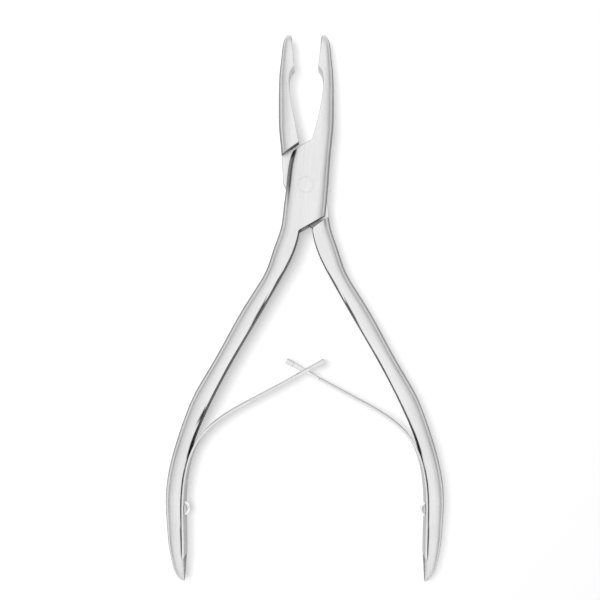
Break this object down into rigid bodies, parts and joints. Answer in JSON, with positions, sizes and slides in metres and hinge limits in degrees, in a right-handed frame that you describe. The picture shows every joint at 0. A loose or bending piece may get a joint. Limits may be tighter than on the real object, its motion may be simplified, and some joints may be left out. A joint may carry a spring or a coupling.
{
  "type": "bone rongeur",
  "caption": "Plier-shaped steel bone rongeur with narrow cupped jaws, a box joint and long bowed handles held open by crossed leaf springs.",
  "frame": {"origin": "on the pivot axis of the box joint, at the back face of the joint, which lies on the table", "axes": "+X to the viewer's right, +Y from the pivot towards the jaws, +Z out of the front face"},
  "size_m": [0.0694, 0.1368, 0.009],
  "materials": {
    "satin_steel": "satin, brushed along the instrument",
    "spring_steel": "finely ground and bright",
    "bright_steel": "polished"
  },
  "bodies": {
    "female": {"female_half": "satin_steel", "joint_pin": "satin_steel", "left_spring_screw": "bright_steel"},
    "male": {"male_half": "satin_steel", "right_spring_screw": "bright_steel"},
    "left_spring": {"left_leaf_spring": "spring_steel"},
    "right_spring": {"right_leaf_spring": "spring_steel"}
  },
  "joints": [
    {"name": "jaw_pivot", "type": "hinge", "parent": "female", "child": "male", "pos_m": [0, 0, 0.0045], "axis": [0, 0, -1], "range_deg": [-3, 11.2], "stiffness_Nm_per_rad": 4.6},
    {"name": "left_spring_flex", "type": "hinge", "parent": "female", "child": "left_spring", "pos_m": [-0.0284, -0.0663, 0.0045], "axis": [0, 0, 1], "range_deg": [-3, 10.6], "deforming": ["left_leaf_spring"]},
    {"name": "right_spring_flex", "type": "hinge", "parent": "male", "child": "right_spring", "pos_m": [0.0284, -0.0663, 0.0045], "axis": [0, 0, -1], "range_deg": [-3, 10.6], "deforming": ["right_leaf_spring"]}
  ],
  "couplings": [
    {"joint": "left_spring_flex", "follows": "jaw_pivot", "ratio": 0.92},
    {"joint": "right_spring_flex", "follows": "jaw_pivot", "ratio": 0.92}
  ]
}
